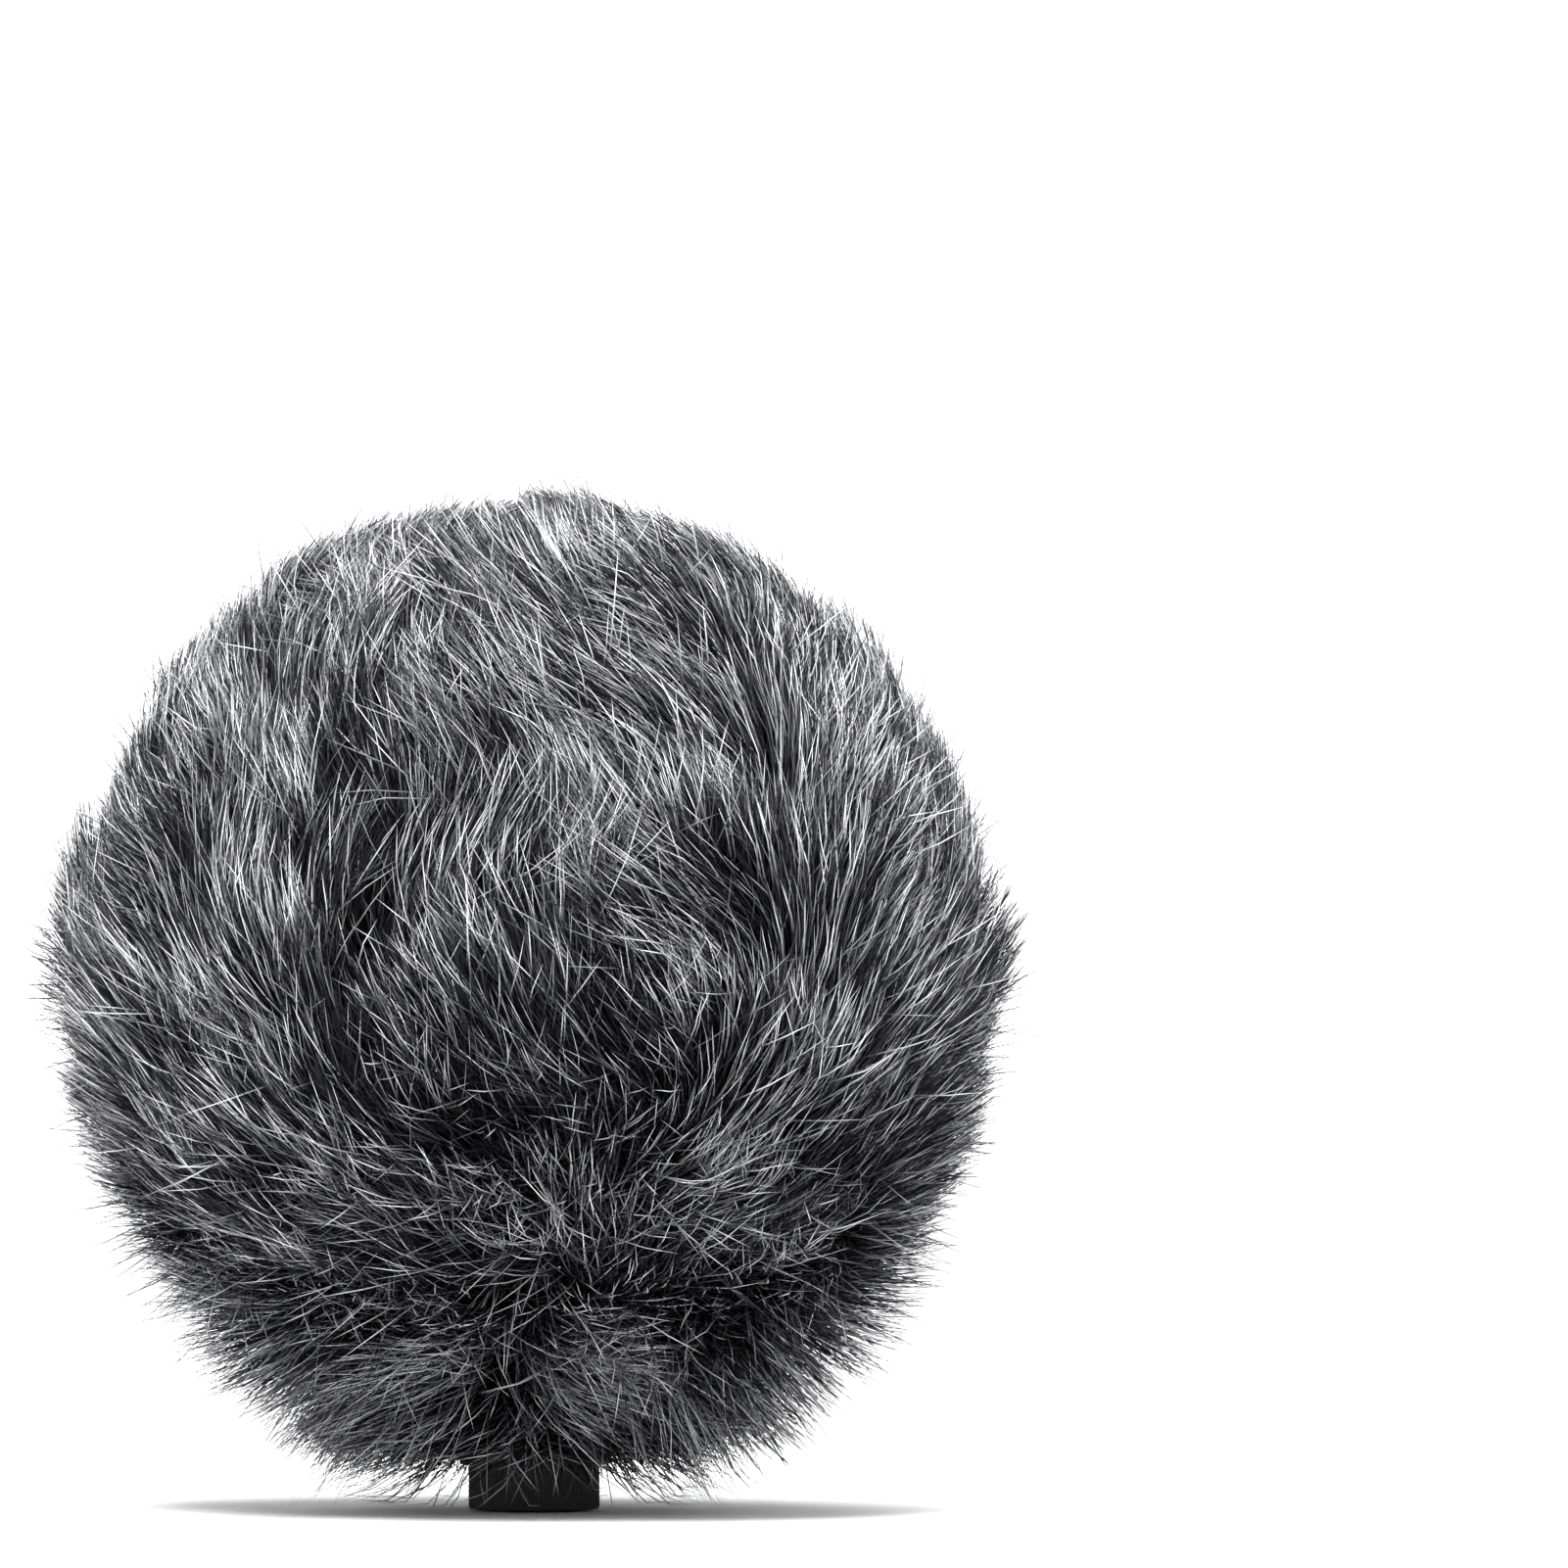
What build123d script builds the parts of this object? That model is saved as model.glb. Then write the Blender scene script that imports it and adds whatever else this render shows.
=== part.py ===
"""Furry windscreen: a pull-on cover for a ball microphone, sewn from four fur gores on an elastic neck cuff.

The frame is the cover as worn. The origin is the centre of the cuff's lower rim, where the microphone's
stand comes out. +Z points up through the middle of the ball, and -Y is the front.

From the inside out, the ball is wrapped by:
    backing     knitted ground cloth, one shell per gore, with its seam allowances pressed open inside
    underfur    the dense short fibres that stand on the backing
    guard fur   the long coarse fibres that reach past the underfur
Each gore is a quarter of the ball. Inside, a row of overcast stitches closes each seam. The cuff is a
covered elastic: rubber strands between an inner and an outer knitted face, butted at the back and tacked.
"""

import os
from math import cos, pi, radians, sin

from build123d import *

# Driving dimensions, in millimetres and degrees.
microphone_diameter = 103.0  # the ball microphone that the cover is made for
gore_count = 4
first_seam_angle = -112.0  # from +X, so 22 degrees left of the front
seam_allowance_width = 5.0
seam_allowance_thickness = 0.8
ball_ease = 0.6  # free space between the microphone and the seam allowances
backing_thickness = 1.2
underfur_height = 5.0
pile_height = 10.3  # backing to the lying tips of the guard fur

cuff_bore_radius = 7.5  # relaxed: it stretches to grip the stand
cuff_face_thickness = 0.42
cuff_strand_thickness = 0.46
cuff_height = 13.0
strand_count = 8
strand_height = 0.8

hem_bottom = 6.0  # where the fur starts on the cuff
hem_stitch_row = 7.3
pile_bottom = 8.6  # the pile is rooted from here up, and hangs over the hem
hem_clearance = 0.9  # the overhanging pile stands this far off the hem
lip_flare = 0.4  # and leans out by this much by its lower edge
skirt_width = 2.6  # the guard fur's lowest edge, beside the cuff
underfur_foot_angle = 19.0  # where each layer of pile leaves the ball, from the ball's bottom
guard_foot_angle = 16.0
ball_height = 72.9  # middle of the ball above the cuff's lower rim

allowance_foot_angle = 32.0  # the strips run between these angles from the ball's bottom
allowance_crown_angle = 172.0
seam_stitch_pitch = 3.2
seam_stitch_length = 3.2
thread_radius = 0.17
thread_gap = 0.03
hem_stitch_count = 36
hem_zigzag_depth = 1.5
tack_stitch_count = 9
tack_stitch_width = 2.6

# Worked out from the above.
allowance_radius = microphone_diameter / 2 + ball_ease
backing_inner = allowance_radius + seam_allowance_thickness
backing_outer = backing_inner + backing_thickness
underfur_outer = backing_outer + underfur_height
pile_outer = backing_outer + pile_height
cuff_outer = cuff_bore_radius + 2 * cuff_face_thickness + cuff_strand_thickness
hem_outer = cuff_outer + backing_thickness
gore_angle = 360.0 / gore_count
gore_names = ["front", "right", "rear", "left"]
flare_start = pile_bottom  # the backing hugs the cuff below this, and flares out to the ball above it


def neck_fillet(neck_radius, ball_radius):
    """Where the cover leaves the upright neck and meets the ball.

    Returns the angle of the meeting point from the ball's bottom, in degrees, and the fillet's radius.
    The fillet's centre lies level with flare_start, and its arc is tangent to the ball.
    """
    rise = ball_height - flare_start
    low, high = 5.0, 45.0
    for _ in range(60):
        angle = (low + high) / 2
        a = radians(angle)
        fillet = rise / cos(a) - ball_radius
        reach = neck_radius + fillet * (1 - sin(a)) - ball_radius * sin(a)
        if reach > 0:
            low = angle
        else:
            high = angle
    return angle, fillet


def on_ball(radius, angle):
    """A point of the section, at an angle in degrees from the ball's bottom."""
    a = radians(angle)
    return (radius * sin(a), ball_height - radius * cos(a))


def ball_arc(radius, low, high):
    """An arc of the section that follows the ball between two angles."""
    return ThreePointArc(on_ball(radius, low), on_ball(radius, (low + high) / 2), on_ball(radius, high))


def wall_line(neck_radius, ball_radius, bottom):
    """The meridian of one skin, from the neck's lower edge up to the crown."""
    angle, fillet = neck_fillet(neck_radius, ball_radius)
    mid = radians((90 + angle) / 2)
    arc_middle = (
        neck_radius + fillet * (1 - sin(mid)),
        flare_start + fillet * cos(mid),
    )
    bend = (neck_radius, flare_start)
    upright = [Line((neck_radius, bottom), bend)] if bottom < flare_start else []
    return [
        *upright,
        ThreePointArc(bend, arc_middle, on_ball(ball_radius, angle)),
        ball_line(ball_radius, angle),
    ]


def ball_line(radius, foot_angle):
    """The meridian of a skin that follows the ball from a foot angle up to the crown."""
    crown = (0, ball_height + radius)
    return ThreePointArc(on_ball(radius, foot_angle), on_ball(radius, (foot_angle + 180) / 2), crown)


def section(edges):
    """A face in the XZ plane from closed edges drawn as (radius, height)."""
    return Plane.XZ * make_face(edges)


def gore_of(face, start, sweep=gore_angle):
    """One gore's solid: the section turned about +Z from a start angle."""
    return revolve(Rot(0, 0, start) * face, Axis.Z, sweep)


def shell_face(inner_edges, outer_edges, foot):
    """The section between two skins that both end on the axis at the crown."""
    crown = Line(inner_edges[-1] @ 1, outer_edges[-1] @ 1)
    return section([*inner_edges, *outer_edges, crown, *foot])


def backing_gore(start):
    """Ground cloth of one gore, with a seam allowance folded flat inside along each edge."""
    inner = wall_line(cuff_outer, backing_inner, hem_bottom)
    outer = wall_line(hem_outer, backing_outer, hem_bottom)
    foot = [Line((cuff_outer, hem_bottom), (hem_outer, hem_bottom))]
    cloth = gore_of(shell_face(inner, outer, foot), start)
    return cloth + seam_allowances(start)


def seam_allowances(start):
    """The two strips of constant width that lie against the inside of a gore, along its seams."""
    low, high = allowance_foot_angle, allowance_crown_angle
    fused = backing_inner + 0.2  # the strips run into the cloth
    edges = [
        ball_arc(allowance_radius, low, high),
        Line(on_ball(allowance_radius, high), on_ball(fused, high)),
        ball_arc(fused, low, high),
        Line(on_ball(fused, low), on_ball(allowance_radius, low)),
    ]
    lining = gore_of(section(edges), start)
    side = 4 * pile_outer
    strips = []
    for seam, inward in ((start, 1), (start + gore_angle, -1)):
        slab = Pos(0, inward * seam_allowance_width / 2) * Box(side, seam_allowance_width, 2 * side)
        strips.append(lining & Rot(0, 0, seam) * slab)
    return strips[0] + strips[1]


def underfur_gore(start):
    """Dense short fibres on one gore's backing, rooted from pile_bottom up."""
    inner = wall_line(hem_outer, backing_outer, pile_bottom)
    outer = [ball_line(underfur_outer, underfur_foot_angle)]
    hem_edge = (hem_outer + hem_clearance, pile_bottom)
    foot = [
        Line((hem_outer, pile_bottom), hem_edge),
        Line(hem_edge, on_ball(underfur_outer, underfur_foot_angle)),
    ]
    return gore_of(shell_face(inner, outer, foot), start)


def guard_fur_gore(start):
    """Long guard fibres of one gore, lying over the underfur and hanging past the hem."""
    inner = [ball_line(underfur_outer, underfur_foot_angle)]
    outer = [ball_line(pile_outer, guard_foot_angle)]
    hem_edge = (hem_outer + hem_clearance, pile_bottom)
    lip = (hem_outer + hem_clearance + lip_flare, hem_bottom)
    skirt = (hem_outer + hem_clearance + skirt_width, hem_bottom)
    foot = [
        Line(on_ball(underfur_outer, underfur_foot_angle), hem_edge),
        Line(hem_edge, lip),
        Line(lip, skirt),
        Line(skirt, on_ball(pile_outer, guard_foot_angle)),
    ]
    return gore_of(shell_face(inner, outer, foot), start)


def thread(start, end):
    """One straight stitch between two points."""
    a, b = Vector(*start), Vector(*end)
    along = (b - a).normalized()
    return Plane(origin=(a + b) * 0.5, z_dir=along) * Cylinder(thread_radius, (b - a).length)


def seam_stitches(seam):
    """Overcast stitches that cross one seam on the inside of the ball, from the neck up to the crown."""
    radius = allowance_radius - thread_radius - thread_gap
    low = allowance_foot_angle
    run = allowance_crown_angle - low
    count = int(radians(run) * radius / seam_stitch_pitch)
    half = seam_stitch_length / 2
    stitches = []
    for i in range(count):
        r, z = on_ball(radius, low + run * (i + 0.5) / count)
        stitches.append(Rot(0, 0, seam) * thread((r, -half, z), (r, half, z)))
    return Compound(stitches)


def hem_stitches():
    """Zigzag that sews the hem of the four gores to the cuff, one straight stitch for each leg."""
    radius = hem_outer + thread_radius + 0.06
    step = 2 * pi / hem_stitch_count
    inset = 0.1  # each leg stops short of the corner that it shares with the next
    stitches = []
    for i in range(hem_stitch_count):
        rise = hem_zigzag_depth if i % 2 == 0 else -hem_zigzag_depth
        ends = []
        for k in (i + inset, i + 1 - inset):
            z = hem_stitch_row + rise * (k - i - 0.5)
            ends.append((radius * cos(k * step), radius * sin(k * step), z))
        stitches.append(thread(*ends))
    return Compound(stitches)


def cuff_tack():
    """Short bars that join the butted ends of the elastic, below the hem at the back."""
    reach = cuff_outer + thread_radius + 0.12
    half = tack_stitch_width / 2
    low = 0.8
    pitch = (hem_bottom - 2 * low) / (tack_stitch_count - 1)
    rows = [low + i * pitch for i in range(tack_stitch_count)]
    return Compound([thread((-half, reach, z), (half, reach, z)) for z in rows])


def tube(inner_radius, outer_radius, height, bottom=0.0):
    """A plain ring that stands on a given height."""
    ring = Cylinder(outer_radius, height) - Cylinder(inner_radius, height)
    return Pos(0, 0, bottom + height / 2) * ring


def cuff_strands():
    """Rubber strands that run round inside the cuff, evenly spaced up its height."""
    inner = cuff_bore_radius + cuff_face_thickness
    outer = inner + cuff_strand_thickness
    pitch = cuff_height / strand_count
    bottoms = [pitch * (i + 0.5) - strand_height / 2 for i in range(strand_count)]
    return Compound([tube(inner, outer, strand_height, z) for z in bottoms])


parts = {
    "cuff_inner_face": tube(cuff_bore_radius, cuff_bore_radius + cuff_face_thickness, cuff_height),
    "cuff_rubber_strands": cuff_strands(),
    "cuff_outer_face": tube(cuff_outer - cuff_face_thickness, cuff_outer, cuff_height),
    "cuff_join_tack": cuff_tack(),
    "hem_zigzag_stitches": hem_stitches(),
}
for number, name in enumerate(gore_names):
    seam = first_seam_angle + number * gore_angle
    parts[f"backing_{name}"] = backing_gore(seam)
    parts[f"underfur_{name}"] = underfur_gore(seam)
    parts[f"guard_fur_{name}"] = guard_fur_gore(seam)
    parts[f"seam_stitches_{name}"] = seam_stitches(seam)

os.makedirs("parts", exist_ok=True)
for name, shape in parts.items():
    export_step(shape, f"parts/{name}.step")
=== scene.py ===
"""Looks of the furry windscreen: combed fur on four gores, a ribbed elastic cuff and its sewing.

Lengths are in metres and angles in degrees, unless a docstring says otherwise. The frame's +Z runs up the
middle of the ball and -Y is the front. An azimuth is measured from the front towards +X, and a heading
turns a fibre from straight up the ball towards the right-hand side, both as seen from outside.
"""

import logging
import math
from collections.abc import Callable, Sequence
from dataclasses import dataclass, field, replace
from enum import Enum

import bmesh
import bpy
import numpy as np
from mathutils import Matrix, Vector


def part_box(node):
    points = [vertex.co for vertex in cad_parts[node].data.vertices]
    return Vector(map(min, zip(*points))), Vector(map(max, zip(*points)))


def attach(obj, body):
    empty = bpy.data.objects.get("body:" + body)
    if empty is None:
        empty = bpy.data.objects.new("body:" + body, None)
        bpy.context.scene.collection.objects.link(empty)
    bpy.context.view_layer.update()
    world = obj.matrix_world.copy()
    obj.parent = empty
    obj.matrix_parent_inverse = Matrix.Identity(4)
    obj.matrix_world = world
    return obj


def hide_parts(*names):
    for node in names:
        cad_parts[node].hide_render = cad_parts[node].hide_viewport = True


log = logging.getLogger("windscreen")
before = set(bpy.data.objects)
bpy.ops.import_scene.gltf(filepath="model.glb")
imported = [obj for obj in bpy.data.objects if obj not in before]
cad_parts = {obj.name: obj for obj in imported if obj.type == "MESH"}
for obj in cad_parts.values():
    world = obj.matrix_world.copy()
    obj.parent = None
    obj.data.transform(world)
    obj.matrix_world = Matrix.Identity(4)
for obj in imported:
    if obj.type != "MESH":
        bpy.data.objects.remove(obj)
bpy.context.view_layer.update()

MM = 0.001
Colour = tuple[float, float, float]
GORES = ("front", "right", "rear", "left")
GORE_ANGLE = 90.0
FIRST_SEAM = -22.0  # azimuth of the front gore's left-hand seam
FILLET_SHARE = 4  # the neck's fillet has this part of the ball's points
SIDES = 3  # of one fibre
STRAND_MAP = "OFBake"  # the fibres' map; each fibre has its own place on it
MAP_HALF_WIDTH = 0.004  # of a fibre on that map
CLOTH_MAP = "cloth"  # in metres, for the knits
CLOTH_JUMP = 0.02  # a face that is wider than this on the cloth map lies across the map's own start


# ---------------------------------------------------------------- shader nodes


class Term:
    """A number that varies over a surface: a node's output, with Python's arithmetic."""

    def __init__(self, graph: "Graph", socket: bpy.types.NodeSocket | None) -> None:
        """Keeps the graph that holds the output.

        Args:
            graph: The graph that later nodes are added to.
            socket: The output that this term stands for.
        """
        self.graph = graph
        self.socket = socket

    def maths(self, operation: str, *values: "Term | float") -> "Term":
        """Adds one Math node.

        Args:
            operation: The Math node's operation.
            *values: Its inputs, in order.

        Returns:
            The node's result.
        """
        return self.graph.node("ShaderNodeMath", {"operation": operation}, dict(enumerate(values)))

    def __add__(self, other: "Term | float") -> "Term":
        """Sum."""
        return self.maths("ADD", self, other)

    def __sub__(self, other: "Term | float") -> "Term":
        """Difference."""
        return self.maths("SUBTRACT", self, other)

    def __mul__(self, other: "Term | float") -> "Term":
        """Product."""
        return self.maths("MULTIPLY", self, other)

    def __pow__(self, other: "Term | float") -> "Term":
        """Power."""
        return self.maths("POWER", self, other)

    def wave(self) -> "Term":
        """Sine of a term that is in radians."""
        return self.maths("SINE", self)

    def clamped(self, low: float, high: float) -> "Term":
        """The term held between two numbers."""
        return self.maths("MINIMUM", self.maths("MAXIMUM", self, low), high)


class Graph:
    """A material's node tree, built one node at a time."""

    def __init__(self, name: str) -> None:
        """Starts an empty material.

        Args:
            name: The material's name.
        """
        self.material = bpy.data.materials.new(name)
        self.material.use_nodes = True
        self.tree = self.material.node_tree
        self.tree.nodes.clear()

    def node(
        self,
        kind: str,
        settings: dict[str, object] | None = None,
        inputs: dict[str | int, object] | None = None,
        output: str | int = 0,
    ) -> Term:
        """Adds any node.

        Args:
            kind: Blender's name for the node's type.
            settings: Properties that are set first. "stops" fills a colour ramp.
            inputs: Values or terms for the node's inputs, by name or number.
            output: The output that the result stands for.

        Returns:
            The chosen output, which is empty for a node that ends the graph.
        """
        made = self.tree.nodes.new(kind)
        for key, value in (settings or {}).items():
            if key == "stops":
                self.fill_ramp(made.color_ramp, value)
            else:
                setattr(made, key, value)
        for key, value in (inputs or {}).items():
            if isinstance(value, Term):
                self.tree.links.new(value.socket, made.inputs[key])
            else:
                made.inputs[key].default_value = value
        return Term(self, made.outputs[output] if len(made.outputs) else None)

    @staticmethod
    def fill_ramp(ramp: bpy.types.ColorRamp, stops: Sequence[tuple[float, Colour]]) -> None:
        """Gives a colour ramp its stops.

        Args:
            ramp: The ramp.
            stops: (position, colour) pairs, in order.
        """
        while len(ramp.elements) < len(stops):
            ramp.elements.new(0.5)
        for element, (position, colour) in zip(ramp.elements, stops, strict=True):
            element.position = position
            element.color = (*colour, 1.0)

    def place(self) -> Term:
        """The piece's own Object coordinates."""
        return self.node("ShaderNodeTexCoord", output="Object")

    def map_place(self, name: str) -> tuple[Term, ...]:
        """The two coordinates of one of the piece's maps."""
        place = self.node("ShaderNodeUVMap", {"uv_map": name})
        return tuple(self.node("ShaderNodeSeparateXYZ", {}, {0: place}, output=axis) for axis in "XY")

    def noise(self, scale: float, detail: float = 2.0) -> Term:
        """Noise through the piece, from 0 to 1."""
        inputs = {"Vector": self.place(), "Scale": scale, "Detail": detail}
        return self.node("ShaderNodeTexNoise", {}, inputs)

    def mixed(self, share: Term | float, first: Term | Colour, second: Term | Colour) -> Term:
        """Blends two colours.

        Args:
            share: How much of the second colour shows, from 0 to 1.
            first: A colour or a term.
            second: A colour or a term.

        Returns:
            The blended colour.
        """
        sides = [c if isinstance(c, Term) else (*c, 1.0) for c in (first, second)]
        inputs = {0: share, 6: sides[0], 7: sides[1]}
        return self.node("ShaderNodeMix", {"data_type": "RGBA"}, inputs, output=2)

    def surface(
        self,
        colour: Term,
        roughness: Term | float,
        height: Term | None = None,
        depth: float = 0.0,
        constants: dict[str, float] | None = None,
    ) -> bpy.types.Material:
        """Ends the graph in a Principled surface.

        Args:
            colour: Base colour.
            roughness: Roughness.
            height: Relief from 0 to 1, or nothing for a smooth surface.
            depth: The relief's depth, in metres.
            constants: Values for other sockets of the surface.

        Returns:
            The finished material.
        """
        inputs: dict[str | int, object] = {"Base Color": colour, "Roughness": roughness}
        inputs.update(constants or {})
        if height is not None:
            inputs["Normal"] = self.node("ShaderNodeBump", {}, {"Height": height, "Distance": depth})
        shaded = self.node("ShaderNodeBsdfPrincipled", {}, inputs)
        self.node("ShaderNodeOutputMaterial", {}, {"Surface": shaded})
        return self.material


# -------------------------------------------------------------------- finishes


@dataclass(frozen=True)
class FurFinish:
    """Dyed fibres, with painted shade that darkens them towards the root, where the pile shades itself. The
    strand map has their shade across and their length up.
    """

    name: str
    # The root colour is painted shade, where the pile shades itself.
    root: Colour
    shades: tuple[tuple[float, Colour], ...]
    root_shade_reach: float
    root_shade_hold: float = 1.8
    roughness: float = 0.4
    gloss: float = 0.045

    def material(self) -> bpy.types.Material:
        """Builds the material.

        Returns:
            A material for fibres whose map holds (shade, place along the fibre).
        """
        graph = Graph(self.name)
        shade, along = graph.map_place(STRAND_MAP)
        dyed = graph.node("ShaderNodeValToRGB", {"stops": self.shades}, {"Fac": shade})
        # Painted shade: the colour darkens from the fibre's own shade to the root colour towards the root.
        lit = (along * (1.0 / self.root_shade_reach)).clamped(0.0, 1.0)
        colour = graph.mixed(lit**self.root_shade_hold, self.root, dyed)
        return graph.surface(colour, self.roughness, constants={"Specular IOR Level": self.gloss})


@dataclass(frozen=True)
class KnitFinish:
    """Knitted cloth: wales and courses on the piece's own map, which is in metres."""

    name: str
    shadow: Colour
    yarn: Colour
    wale: float
    course: float
    depth: float
    roughness: float = 0.85
    pairing: float = 1.1
    fuzz_scale: float = 900.0
    fuzz_share: float = 0.2

    def material(self) -> bpy.types.Material:
        """Builds the material.

        Returns:
            A knit whose stitches lean in pairs, as stocking stitch does.
        """
        graph = Graph(self.name)
        across, up = graph.map_place(CLOTH_MAP)
        turn = 2.0 * math.pi
        ridge = (across * (turn / self.wale)).wave()
        lean = ridge.maths("ABSOLUTE", ridge) * self.pairing
        loop = (up * (turn / self.course) + lean).wave()
        weave = (ridge * 0.5 + loop * 0.5) * 0.5 + 0.5
        fuzz = graph.noise(self.fuzz_scale, detail=3.0)
        height = weave * (1.0 - self.fuzz_share) + fuzz * self.fuzz_share
        colour = graph.mixed(height, self.shadow, self.yarn)
        return graph.surface(colour, self.roughness, height, self.depth)


@dataclass(frozen=True)
class RubberFinish:
    """Extruded rubber thread, dusty from talc."""

    name: str = "elastic_rubber"
    dark: Colour = (0.035, 0.033, 0.031)
    talc: Colour = (0.11, 0.105, 0.10)
    talc_scale: float = 1400.0
    bare: float = 0.4
    roughness: tuple[float, float] = (0.55, 0.3)
    depth: float = 0.02 * MM

    def material(self) -> bpy.types.Material:
        """Builds the material.

        Returns:
            Matt rubber with specks of talc.
        """
        graph = Graph(self.name)
        dust = graph.noise(self.talc_scale, detail=4.0)
        colour = graph.mixed((dust - self.bare).clamped(0.0, 1.0), self.dark, self.talc)
        least, more = self.roughness
        return graph.surface(colour, dust * more + least, dust, self.depth)


@dataclass(frozen=True)
class ThreadFinish:
    """Spun sewing thread with a slight sheen."""

    name: str = "thread"
    dark: Colour = (0.012, 0.012, 0.014)
    light: Colour = (0.07, 0.07, 0.078)
    ply_scale: float = 2600.0
    roughness: float = 0.55
    depth: float = 0.03 * MM

    def material(self) -> bpy.types.Material:
        """Builds the material.

        Returns:
            Thread with fine plies from slanting bands.
        """
        graph = Graph(self.name)
        settings = {"wave_type": "BANDS", "bands_direction": "DIAGONAL"}
        inputs = {"Vector": graph.place(), "Scale": self.ply_scale, "Distortion": 1.5, "Detail": 1.0}
        ply = graph.node("ShaderNodeTexWave", settings, inputs, output="Fac")
        colour = graph.mixed(ply, self.dark, self.light)
        return graph.surface(colour, self.roughness, ply, self.depth)


@dataclass(frozen=True)
class StudioFinish:
    """Matt white paper sweep."""

    name: str = "studio_paper"
    low: Colour = (0.86, 0.86, 0.865)
    high: Colour = (0.92, 0.92, 0.922)
    tooth_scale: float = 40.0
    roughness: float = 0.9

    def material(self) -> bpy.types.Material:
        """Builds the material.

        Returns:
            Almost white paper.
        """
        graph = Graph(self.name)
        colour = graph.mixed(graph.noise(self.tooth_scale), self.low, self.high)
        return graph.surface(colour, self.roughness)


class Finish(Enum):
    """Every finish on the cover."""

    GUARD = FurFinish(
        name="guard_fur",
        # The root colour is painted shade for the pile's depth, and the darkest shades go darker than the
        # fibres' own charcoal, as painted shade in the gaps between them.
        root=(0.006, 0.0062, 0.0072),
        shades=(
            (0.0, (0.005, 0.0052, 0.0061)),
            (0.3, (0.022, 0.0225, 0.0250)),
            (0.55, (0.104, 0.106, 0.114)),
            (0.75, (0.37, 0.373, 0.39)),
            (1.0, (0.86, 0.865, 0.885)),
        ),
        root_shade_reach=0.8,
    )
    UNDER = FurFinish(
        name="underfur",
        # The root colour and the very dark shades are painted shade deep in the pile, over the underfur's
        # own dark grey.
        root=(0.003, 0.0031, 0.0036),
        shades=((0.0, (0.005, 0.0051, 0.0058)), (0.6, (0.014, 0.0143, 0.016)), (1.0, (0.05, 0.051, 0.055))),
        root_shade_reach=0.95,
        gloss=0.03,
        roughness=0.55,
    )
    BACKING = KnitFinish(
        name="backing_knit",
        shadow=(0.006, 0.006, 0.007),
        yarn=(0.035, 0.035, 0.039),
        wale=1.1 * MM,
        course=0.8 * MM,
        depth=0.18 * MM,
    )
    ELASTIC = KnitFinish(
        name="elastic_knit",
        shadow=(0.006, 0.006, 0.0065),
        yarn=(0.030, 0.030, 0.033),
        wale=0.58 * MM,
        course=0.42 * MM,
        depth=0.07 * MM,
    )
    RUBBER = RubberFinish()
    THREAD = ThreadFinish()
    STUDIO = StudioFinish()


@dataclass
class Wardrobe:
    """Makes each finish's material once."""

    made: dict[Finish, bpy.types.Material] = field(default_factory=dict)

    def wear(self, finish: Finish) -> bpy.types.Material:
        """Gives a finish's material.

        Args:
            finish: The finish.

        Returns:
            Its material, made on first use.
        """
        if finish not in self.made:
            self.made[finish] = finish.value.material()
        return self.made[finish]


# ------------------------------------------------------------------ the cover


@dataclass
class CoverShape:
    """The cover's main sizes, read from the frame."""

    top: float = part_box("guard_fur_front")[1].z
    pile_foot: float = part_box("underfur_front")[0].z
    hem_foot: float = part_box("backing_front")[0].z
    neck_inner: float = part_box("cuff_outer_face")[1].x
    backing_thickness: float = 1.2 * MM
    ball_height: float = field(init=False)
    backing: float = field(init=False)
    neck_outer: float = field(init=False)

    def __post_init__(self) -> None:
        """Works out the ball's height and the outer radii of its backing and of the neck."""
        pile = max(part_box(f"guard_fur_{gore}")[1].x for gore in GORES)
        self.ball_height = self.top - pile
        self.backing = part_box("backing_front")[1].z - self.ball_height
        self.neck_outer = self.neck_inner + self.backing_thickness

    @property
    def centre(self) -> np.ndarray:
        """Middle of the ball."""
        return np.array([0.0, 0.0, self.ball_height])

    def neck_curve(self, neck: float, ball: float) -> tuple[float, float]:
        """Fillet between the upright neck and the ball.

        Args:
            neck: The neck's radius.
            ball: The ball's radius.

        Returns:
            The fillet's radius, and the angle in radians from the ball's bottom where it meets the ball.
        """
        rise = self.ball_height - self.pile_foot
        fillet = (rise**2 + neck**2 - ball**2) / (2 * (ball - neck))
        return fillet, math.asin((neck + fillet) / (ball + fillet))

    def meridian(self, neck: float, ball: float, steps: int = 240) -> np.ndarray:
        """One skin's outline from the neck up to the crown.

        Args:
            neck: Its radius at the neck.
            ball: Its radius on the ball.
            steps: Points on the ball. The fillet gets a quarter as many.

        Returns:
            Rows of radius, height, and the outward normal's two parts.
        """

        def arc(hub: tuple[float, float], radius: float, turns: np.ndarray) -> np.ndarray:
            """Rows of the outline round one hub, which lies outside it where the radius is negative."""
            normal = np.stack([np.sin(turns), -np.cos(turns)], axis=1)
            return np.hstack([np.array(hub) + radius * normal, normal])

        fillet, meeting = self.neck_curve(neck, ball)
        turns = np.linspace(math.pi / 2, meeting, steps // FILLET_SHARE, endpoint=False)
        bend = arc((neck + fillet, self.pile_foot), -fillet, turns)
        round_ball = arc((0.0, self.ball_height), ball, np.linspace(meeting, math.pi, steps))
        round_ball[-1, [0, 2]] = 0.0
        return np.vstack([bend, round_ball])


# ------------------------------------------------------------------- the comb


def unit(vectors: np.ndarray, spare: float = 0.0) -> np.ndarray:
    """Vectors scaled to length one. A spare length keeps a vector without any from dividing by nought."""
    return vectors / (np.linalg.norm(vectors, axis=-1, keepdims=True) + spare)


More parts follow.
